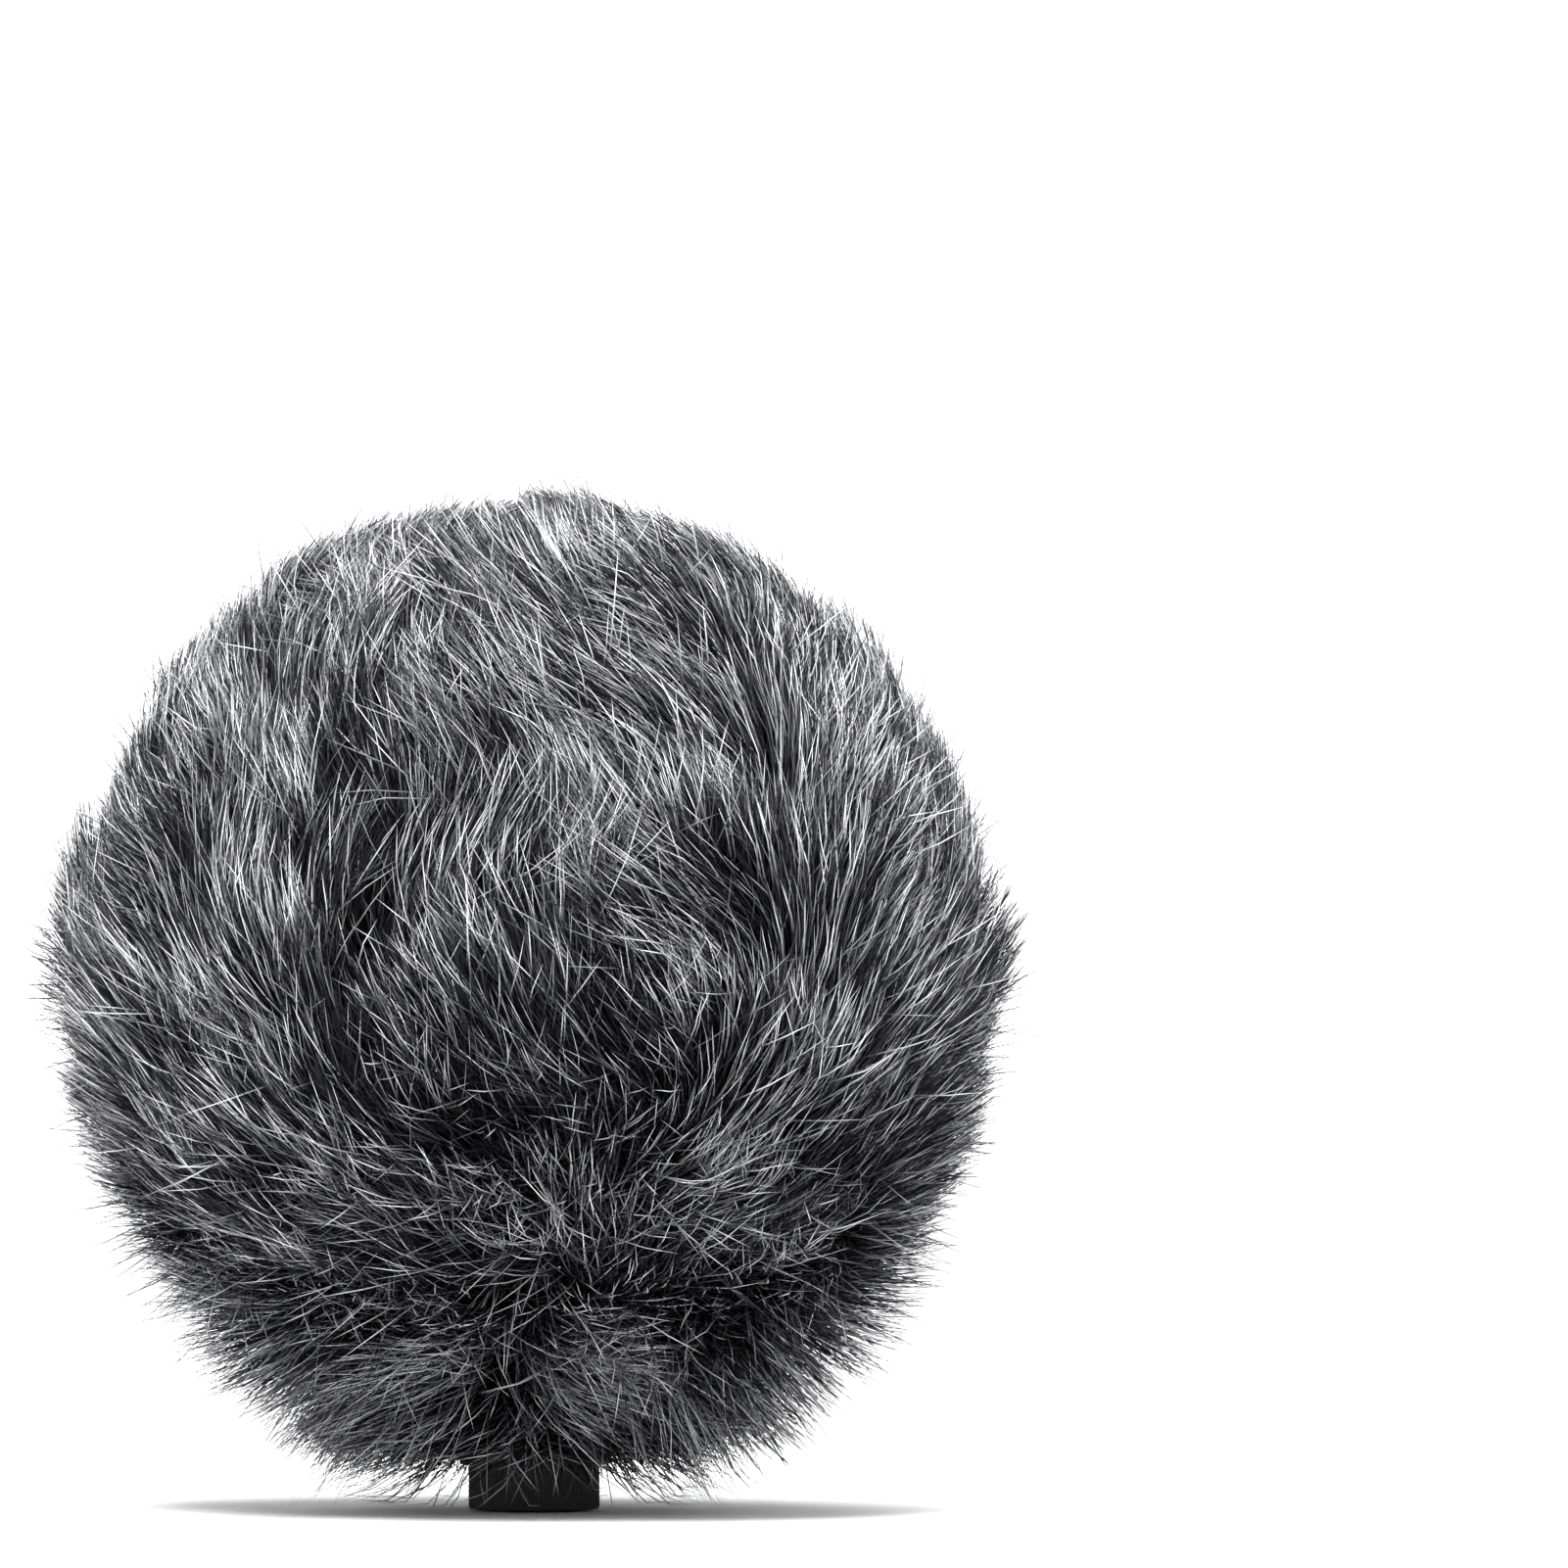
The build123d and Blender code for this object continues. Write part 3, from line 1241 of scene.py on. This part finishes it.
    def spike_faces(self) -> np.ndarray:
        """Faces of one spike.

        Returns:
            Rows of three corners: its walls, its tip and its closed root.
        """
        faces = []
        for ring in range(self.rings - 1):
            for side in range(SIDES):
                a, b = ring * SIDES + side, ring * SIDES + (side + 1) % SIDES
                faces += [(a, b, b + SIDES), (a, b + SIDES, a + SIDES)]
        last, tip = (self.rings - 1) * SIDES, self.rings * SIDES
        faces += [(last + side, last + (side + 1) % SIDES, tip) for side in range(SIDES)]
        return np.array([*faces, (2, 1, 0)])


@dataclass
class Fur:
    """The whole coat: long guard fur over dense underfur."""

    shape: CoverShape
    wardrobe: Wardrobe
    comb: Comb = Comb(
        strokes=(
            # Crown and upper front: a broad sweep from the lower right to the upper left.
            Stroke(-2, 66, -40, reach=16),
            Stroke(-58, 60, -22, reach=14),
            Stroke(4, 47, -54, reach=13, weight=2.2),
            Stroke(20, 40, -46, reach=12, weight=2.0),
            Stroke(5, 31, -44, reach=11, weight=1.8),
            Stroke(27, 27, -34, reach=11, weight=1.2),
            Stroke(14, 15, -30, reach=6),
            # Upper left: an upright bank beside the sweep, with a lock that leans back over it.
            Stroke(-34, 46, 24, reach=9, weight=2.2),
            Stroke(-16, 46, -26, reach=7),
            Stroke(-52, 42, -10, reach=12),
            Stroke(-24, 30, -6, reach=9, weight=1.8),
            Stroke(-12, 30, -2, reach=7, weight=2.0),
            Stroke(-38, 20, 8, reach=13, weight=1.5),
            Stroke(-66, 26, -30, reach=13),
            # Middle: two locks that curl to the right, then the long lean to the left below them.
            Stroke(-6, 18, 34, reach=8, weight=2.0),
            Stroke(-26, 17, 8, reach=8, weight=1.4),
            Stroke(-24, 4, -18, reach=8, weight=1.4),
            # Fewer pale fibres: painted shade under the curling locks.
            Stroke(-10, 4, -20, reach=7, weight=1.2, painted_light=-0.2),
            Stroke(-4, 2, -28, reach=11),
            Stroke(16, 3, -38, reach=10, weight=1.2),
            # Fewer pale fibres: painted shade.
            Stroke(2, -9, -46, reach=12, weight=1.8, painted_light=-0.15),
            Stroke(-33, 4, -12, reach=10),
            # Left side, leaning away, with fewer pale fibres as painted shade.
            Stroke(-78, 6, -50, reach=18, painted_light=-0.3),
            Stroke(-46, -9, -38, reach=15),
            Stroke(-24, -14, -42, reach=13),
            Stroke(-58, -26, -50, reach=17, painted_light=-0.15),
            Stroke(-34, -26, -46, reach=12),
            Stroke(-6, -20, -46, reach=8),
            # Right side: upright, then up and out.
            Stroke(40, 16, 4, reach=11),
            Stroke(36, 5, -4, reach=8, weight=1.4),
            Stroke(25, 6, -44, reach=8, weight=2.2),
            Stroke(25, 18, -20, reach=6, weight=1.6),
            Stroke(14, -12, -46, reach=9, weight=2.6),
            Stroke(2, -18, -42, reach=8, weight=1.6),
            Stroke(60, 40, 26, reach=13),
            Stroke(58, 16, 16, reach=12),
            Stroke(54, -2, 38, reach=13),
            Stroke(38, -9, 33, reach=10, weight=1.6),
            Stroke(26, -21, 38, reach=9),
            # Fewer pale fibres low on the right: painted shade.
            Stroke(54, -24, 40, reach=17, painted_light=-0.1),
            Stroke(76, -10, 48, reach=16, painted_light=-0.3),
            # Low front: tangled, with hollows, bright bursts and tufts that fan away. Fewer pale fibres
            # paint shade over it and in the hollows, and more paint highlights in the bursts and tufts.
            Stroke(0, -42, 0, reach=28, weight=0.0, mess=0.5, painted_light=-0.35),
            Stroke(-12, -31, -42, reach=7),
            Stroke(14, -29, 44, reach=7),
            Stroke(0, -25, 0, reach=5, length=0.5, lift=8, painted_light=-0.4),
            Stroke(0, -38, 0, reach=6, mess=1.6, painted_light=1.6),
            *pair(Stroke(-27, -33, -104, reach=6, weight=1.6, mess=0.7, painted_light=1.2)),
            *pair(Stroke(-16, -43, -14, reach=8, weight=4.0, lift=-34)),
            *pair(Stroke(-36, -48, -6, reach=9, weight=3.6, lift=-34, mess=0.4)),
            Stroke(0, -49, 0, reach=5, length=0.5, painted_light=-0.4),
            Stroke(3, -62, 160, reach=6, lift=-14, mess=0.8, painted_light=0.6),
            *pair(Stroke(-9, -70, 112, reach=6, weight=2.4, lift=-24, mess=0.6, painted_light=0.6)),
            *pair(Stroke(-62, -44, -48, reach=13, lift=-14, painted_light=-0.15)),
            *pair(Stroke(-26, -62, -116, reach=9, weight=2.4, lift=-30, mess=0.5, painted_light=0.2)),
            *pair(Stroke(-76, -64, -114, reach=13, weight=1.2, length=1.2)),
            # Back and far sides, by the same kinds of sweep.
            Stroke(110, 30, -30, reach=18, judged=Judged.OUTSIDE),
            Stroke(118, -6, 24, reach=18, judged=Judged.OUTSIDE),
            Stroke(146, 14, -36, reach=16, judged=Judged.OUTSIDE),
            Stroke(160, -22, 30, reach=16, judged=Judged.OUTSIDE),
            Stroke(176, 36, 34, reach=16, judged=Judged.OUTSIDE),
            Stroke(-160, 4, -30, reach=17, judged=Judged.OUTSIDE),
            Stroke(-140, 34, 18, reach=16, judged=Judged.OUTSIDE),
            Stroke(-128, -14, -34, reach=18, judged=Judged.OUTSIDE),
            Stroke(-104, 22, 14, reach=16, judged=Judged.OUTSIDE),
            Stroke(180, -52, 10, reach=14, lift=20, mess=0.6, judged=Judged.OUTSIDE),
            *pair(Stroke(140, -56, 70, reach=13, mess=0.3, judged=Judged.OUTSIDE)),
        ),
        swirls=(Swirl(waves=7, pitch=1.1, size=4.0, seed=3), Swirl(waves=14, pitch=0.36, size=8.0, seed=4)),
        lifts=((-70, 68), (-58, 56), (-42, 38), (-25, 28), (-6, 20), (8, 9), (60, 8), (90, 13)),
        lengths=((-80, 1.26), (-66, 1.12), (-55, 1.0), (5, 1.0), (20, 0.95), (60, 0.96), (90, 0.8)),
        messes=((-75, 0.5), (-58, 0.4), (-44, 0.1), (-25, 0.0)),
    )
    guard: Pile = Pile(
        name="guard_fur",
        finish=Finish.GUARD,
        dye=Dye(middle=0.20, spread=0.10, pale_share=0.23, silver_share=0.17),
        count=76000,
        rings=3,
        length=17.0 * MM,
        radius=0.087 * MM,
        root_lift=46.0,
        tufts=6000,
        halves=True,
        stray_share=0.13,
        seed=11,
    )
    under: Pile = Pile(
        name="underfur",
        finish=Finish.UNDER,
        dye=Dye(middle=0.45, spread=0.18, pale_share=0.06, silver_share=0.02),
        count=54000,
        rings=2,
        length=9.0 * MM,
        radius=0.13 * MM,
        root_lift=54.0,
        tufts=5000,
        halves=False,
        stray_share=0.2,
        seed=12,
        lift_share=0.7,
        taper=(1.0, 0.85),
    )

    def build(self) -> list[bpy.types.Object]:
        """Grows both layers.

        Returns:
            All the fur's pieces.
        """
        scalp = Scalp(self.shape)
        locks = Locks(scalp)
        pieces = []
        for pile in (self.under, self.guard):
            pieces += pile.build(scalp, self.comb, locks, self.wardrobe.wear(pile.finish))
        return pieces


# ---------------------------------------------------------------- other pieces


def placed(name: str, data: bpy.types.ID) -> bpy.types.Object:
    """Puts a new object at the origin of the scene.

    Args:
        name: Its name.
        data: Its mesh, light or camera.

    Returns:
        The object.
    """
    thing = bpy.data.objects.new(name, data)
    bpy.context.scene.collection.objects.link(thing)
    return thing


def finished(name: str, bm: bmesh.types.BMesh, skin: bpy.types.Material) -> bpy.types.Object:
    """Turns a bmesh into a smooth piece at the origin.

    Args:
        name: The piece's name.
        bm: Its shape, which is freed.
        skin: Its material.

    Returns:
        The piece.
    """
    for face in bm.faces:
        face.smooth = True
    mesh = bpy.data.meshes.new(name)
    bm.to_mesh(mesh)
    bm.free()
    mesh.materials.append(skin)
    return placed(name, mesh)


def map_cloth(bm: bmesh.types.BMesh, place: Callable[[Vector], tuple[float, float]]) -> None:
    """Gives a bmesh the map that knits are drawn on.

    A face across the map's own start is far too wide on it, and smears the knit. Its low corners are
    moved on by a jump, which leaves it a shorter smear.

    Args:
        bm: The shape.
        place: Gives a point's place on the cloth, in metres.
    """
    layer = bm.loops.layers.uv.new(CLOTH_MAP)
    for face in bm.faces:
        spots = [place(loop.vert.co) for loop in face.loops]
        low = min(x for x, _ in spots)
        across_start = max(x for x, _ in spots) - low >= CLOTH_JUMP
        for loop, (x, y) in zip(face.loops, spots, strict=True):
            moved = across_start and x - low < CLOTH_JUMP / 2
            loop[layer].uv = (x + CLOTH_JUMP, y) if moved else (x, y)


@dataclass
class Backing:
    """The ground cloth of the four gores, with its seam allowances folded flat inside.

    Allowance_reach runs up from the ball's bottom, and the gaps keep an allowance off the seam and
    off the cloth that it lies on.
    """

    shape: CoverShape
    wardrobe: Wardrobe
    allowance: float = 5.0 * MM
    allowance_thickness: float = 0.8 * MM
    allowance_reach: tuple[float, float] = (32.0, 172.0)
    allowance_steps: int = 30
    seam_gap: float = 0.1 * MM
    cloth_gap: float = 0.02 * MM
    steps: int = 22
    outline_steps: int = 44
    weld: float = 0.01 * MM
    map_margin: float = 0.5
    flat: tuple[float, float] = (0.094, 0.176)
    flat_area: float = 0.0103

    def build(self) -> list[bpy.types.Object]:
        """Makes the four gores.

        Returns:
            Their pieces.
        """
        return [self.gore(number, name) for number, name in enumerate(GORES)]

    def gore(self, number: int, name: str) -> bpy.types.Object:
        """Makes one gore's cloth.

        Args:
            number: Its place, going round from the front one to the right.
            name: Its name.

        Returns:
            The piece.
        """
        shape = self.shape
        seam = math.radians(FIRST_SEAM + GORE_ANGLE * number - 90.0)
        width = math.radians(GORE_ANGLE)
        inner_ball = shape.backing - shape.backing_thickness
        outer = shape.meridian(shape.neck_outer, shape.backing, self.outline_steps)[:, :2]
        inner = shape.meridian(shape.neck_inner, inner_ball, self.outline_steps)[:, :2]
        foot = [(shape.neck_inner, shape.hem_foot), (shape.neck_outer, shape.hem_foot)]
        outline = [*foot, *map(tuple, outer), *map(tuple, inner[::-1])]
        bm = bmesh.new()
        face = bm.faces.new([bm.verts.new((r, 0.0, z)) for r, z in outline])
        bmesh.ops.rotate(bm, verts=bm.verts, cent=(0, 0, 0), matrix=Matrix.Rotation(seam, 3, "Z"))
        bmesh.ops.spin(
            bm,
            geom=[face, *face.edges, *face.verts],
            cent=(0, 0, 0),
            axis=(0, 0, 1),
            angle=width,
            steps=self.steps,
        )
        bmesh.ops.remove_doubles(bm, verts=bm.verts, dist=self.weld)
        for edge_seam, inward in ((seam, 1.0), (seam + width, -1.0)):
            self.add_allowance(bm, edge_seam, inward, inner_ball)
        bmesh.ops.recalc_face_normals(bm, faces=bm.faces)
        centre = Vector(shape.centre)

        def on_cloth(point: Vector) -> tuple[float, float]:
            """Place on the gore: round the ball from a margin before its seam, and up from the bottom."""
            turn = (math.atan2(point.y, point.x) - seam + self.map_margin) % (2 * math.pi)
            return turn * shape.backing, (point - centre).angle(Vector((0, 0, -1)), 0.0) * shape.backing

        map_cloth(bm, on_cloth)
        piece = finished(f"backing_cloth_{name}", bm, self.wardrobe.wear(Finish.BACKING))
        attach(piece, "root")
        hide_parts(f"backing_{name}")
        return piece

    def add_allowance(self, bm: bmesh.types.BMesh, seam: float, inward: float, inner: float) -> None:
        """Adds the folded strip along one seam, as a bar swept over the ball.

        Args:
            bm: The gore.
            seam: Direction of the seam, in radians from +X.
            inward: +1 where the gore lies anticlockwise of the seam, -1 where it lies clockwise.
            inner: Radius of the cloth's inner face.
        """
        low, high = (math.radians(a) for a in self.allowance_reach)
        far, near = inner - self.cloth_gap, inner - self.allowance_thickness
        start, end = inward * self.seam_gap, inward * self.allowance
        corners = [(near, start), (far, start), (far, end), (near, end)]
        cloth = set(bm.verts)
        face = bm.faces.new([bm.verts.new((r * math.sin(low), y, -r * math.cos(low))) for r, y in corners])
        bmesh.ops.spin(
            bm,
            geom=[face, *face.edges, *face.verts],
            cent=(0, 0, 0),
            axis=(0, -1, 0),
            angle=high - low,
            steps=self.allowance_steps,
        )
        strip = [vert for vert in bm.verts if vert not in cloth]
        bmesh.ops.rotate(bm, verts=strip, cent=(0, 0, 0), matrix=Matrix.Rotation(seam, 3, "Z"))
        bmesh.ops.translate(bm, verts=strip, vec=Vector(self.shape.centre))


@dataclass
class Cuff:
    """The covered elastic: ribbed knit outside and in, with rubber strands between."""

    wardrobe: Wardrobe
    ribs: int = 92
    steps_per_rib: int = 4
    rib_depth: float = 0.14 * MM
    rib_share: float = 0.75
    stitch_share: float = 0.12
    rows: int = 30
    roll: float = 0.5 * MM
    rim_share: float = 0.45
    wall_share: float = 0.3
    weld: float = 0.002 * MM

    def build(self) -> list[bpy.types.Object]:
        """Makes both knitted faces, and dresses the strands.

        Returns:
            The new pieces.
        """
        skin = self.wardrobe.wear(Finish.ELASTIC)
        pieces = []
        for name, proud in (("cuff_outer_face", 1.0), ("cuff_inner_face", -1.0)):
            low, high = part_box(name)
            radii = [math.hypot(v.co.x, v.co.y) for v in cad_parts[name].data.vertices]
            wall, back = (max(radii), min(radii)) if proud > 0 else (min(radii), max(radii))
            piece = finished(f"{name}_knit", self.ribbed(wall, back, low.z, high.z), skin)
            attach(piece, "root")
            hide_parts(name)
            pieces.append(piece)
        dress("cuff_rubber_strands", self.wardrobe.wear(Finish.RUBBER))
        return pieces

    def ribbed(self, wall: float, back: float, low: float, high: float) -> bmesh.types.BMesh:
        """Makes one tube of knit with upright ribs.

        Args:
            wall: Radius of its ribbed face.
            back: Radius of its plain face.
            low: Its lower rim's height.
            high: Its upper rim's height.

        Returns:
            Its shape.
        """
        bm = bmesh.new()
        proud = math.copysign(1.0, wall - back)
        roll = min(abs(wall - back), self.roll)
        rim = wall - proud * roll * self.rim_share
        heights = [low + (high - low) * i / self.rows for i in range(self.rows + 1)]
        line = [(wall, z) for z in heights] + [(back, z) for z in reversed(heights)]
        line[0], line[self.rows] = (rim, low), (rim, high)
        corners = [bm.verts.new((r, 0.0, z)) for r, z in line]
        edges = [bm.edges.new((a, b)) for a, b in zip(corners, corners[1:] + corners[:1], strict=True)]
        bmesh.ops.spin(
            bm,
            geom=edges + corners,
            cent=(0, 0, 0),
            axis=(0, 0, 1),
            angle=2 * math.pi,
            steps=self.ribs * self.steps_per_rib,
            use_merge=True,
        )
        bmesh.ops.remove_doubles(bm, verts=bm.verts, dist=self.weld)
        bmesh.ops.recalc_face_normals(bm, faces=bm.faces)
        pitch = (high - low) / self.rows
        for vert in bm.verts:
            radius = math.hypot(vert.co.x, vert.co.y)
            if abs(radius - wall) <= self.wall_share * roll:
                turn = math.atan2(vert.co.y, vert.co.x)
                valley = 0.5 - 0.5 * math.cos(self.ribs * turn)
                stitch = self.stitch_share * math.cos(math.pi * (vert.co.z - low) / pitch)
                share = self.rib_share * (1 - valley) + stitch + self.stitch_share
                scale = (radius - proud * self.rib_depth * min(1.0, max(0.0, share))) / radius
                vert.co.x *= scale
                vert.co.y *= scale
        map_cloth(bm, lambda p: ((math.atan2(p.y, p.x) + math.pi) * max(wall, back), p.z))
        return bm


def dress(node: str, skin: bpy.types.Material) -> None:
    """Gives a CAD node a finish.

    Args:
        node: The node's name.
        skin: The material that takes the place of its own.
    """
    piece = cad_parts[node]
    for slot in piece.material_slots:
        slot.material = skin


@dataclass
class Sewing:
    """All the thread: seams, hem and the cuff's tack."""

    wardrobe: Wardrobe

    def build(self) -> None:
        """Dresses every stitched node."""
        names = [f"seam_stitches_{gore}" for gore in GORES] + ["hem_zigzag_stitches", "cuff_join_tack"]
        for name in names:
            dress(name, self.wardrobe.wear(Finish.THREAD))


# --------------------------------------------------------------------- studio


Point = tuple[float, float, float]


@dataclass(frozen=True)
class SoftBox:
    """A square light of some power in watts, hung at a place and turned to a point."""

    name: str
    place: Point
    size: float
    power: float
    aim: Point = (0.0, 0.0, 0.07)

    def hang(self) -> None:
        """Adds the light."""
        data = bpy.data.lights.new(self.name, "AREA")
        data.size = self.size
        data.energy = self.power
        lamp = placed(self.name, data)
        lamp.location = self.place
        lamp.rotation_euler = (Vector(self.aim) - Vector(self.place)).to_track_quat("-Z", "Y").to_euler()


@dataclass
class Studio:
    """A white paper sweep, soft lights and the camera."""

    wardrobe: Wardrobe
    camera_distance: float = 2.5
    frame_width: float = 0.2102
    aim: tuple[float, float] = (0.0335, 0.0971)
    sensor: float = 36.0
    floor_front: float = -6.0
    floor_back: float = 3.0
    half_width: float = 4.0
    bend: float = 1.2
    bend_steps: int = 12
    wall_top: float = 4.0
    clearance: float = 0.3 * MM
    air: float = 0.68
    lights: tuple[SoftBox, ...] = (
        SoftBox("key", place=(-0.16, -0.5, 1.1), size=0.45, power=25.0),
        SoftBox("top", place=(0.12, 0.25, 1.1), size=0.6, power=16.0),
        SoftBox("backdrop_left", place=(-1.2, 2.3, 1.6), size=1.0, power=60.0, aim=(0.0, 4.4, 0.3)),
        SoftBox("backdrop_right", place=(1.2, 2.3, 1.6), size=1.0, power=60.0, aim=(0.0, 4.4, 0.3)),
    )

    def build(self) -> None:
        """Sets up everything round the cover."""
        self.sweep()
        self.world()
        for light in self.lights:
            light.hang()
        self.camera()

    def sweep(self) -> None:
        """Lays the paper: a floor that curves up behind."""
        bm = bmesh.new()
        line = [(self.floor_front, 0.0), (self.floor_back, 0.0)]
        for i in range(1, self.bend_steps + 1):
            a = math.radians(90.0 * i / self.bend_steps)
            line.append((self.floor_back + self.bend * math.sin(a), self.bend * (1 - math.cos(a))))
        line.append((self.floor_back + self.bend, self.wall_top))
        verts = [bm.verts.new((-self.half_width, y, z)) for y, z in line]
        edges = [bm.edges.new(ends) for ends in zip(verts, verts[1:], strict=False)]
        made = bmesh.ops.extrude_edge_only(bm, edges=edges)
        moved = [v for v in made["geom"] if isinstance(v, bmesh.types.BMVert)]
        bmesh.ops.translate(bm, verts=moved, vec=(2 * self.half_width, 0, 0))
        bmesh.ops.translate(bm, verts=bm.verts, vec=(0, 0, -self.clearance))
        bmesh.ops.recalc_face_normals(bm, faces=bm.faces)
        paper = finished("paper_sweep", bm, self.wardrobe.wear(Finish.STUDIO))

    def world(self) -> None:
        """Fills the room with even white light."""
        world = bpy.data.worlds.new("studio_air")
        world.use_nodes = True
        sky = world.node_tree.nodes["Background"]
        sky.inputs["Color"].default_value = (1.0, 1.0, 1.0, 1.0)
        sky.inputs["Strength"].default_value = self.air
        bpy.context.scene.world = world
        bpy.context.scene.view_settings.view_transform = "Standard"

    def camera(self) -> None:
        """Sets the camera level, far off, with a long lens."""
        data = bpy.data.cameras.new("camera")
        data.sensor_width = self.sensor
        data.lens = self.sensor * self.camera_distance / self.frame_width
        data.clip_end = 50.0
        camera = placed("camera", data)
        camera.location = (self.aim[0], -self.camera_distance, self.aim[1])
        camera.rotation_euler = (math.radians(90.0), 0.0, 0.0)
        bpy.context.scene.camera = camera


def main() -> None:
    """Builds the cover's looks, piece by piece."""
    logging.basicConfig(level=logging.INFO, format="%(name)s: %(message)s")
    wardrobe = Wardrobe()
    shape = CoverShape()
    log.info("ball of radius %.1f mm, %.1f mm up", shape.backing / MM, shape.ball_height / MM)
    Studio(wardrobe).build()
    for maker in (Backing(shape, wardrobe), Cuff(wardrobe), Fur(shape, wardrobe)):
        for piece in maker.build():
            log.info("%s: %d faces", piece.name, len(piece.data.polygons))
    Sewing(wardrobe).build()


if __name__ == "__main__":
    main()
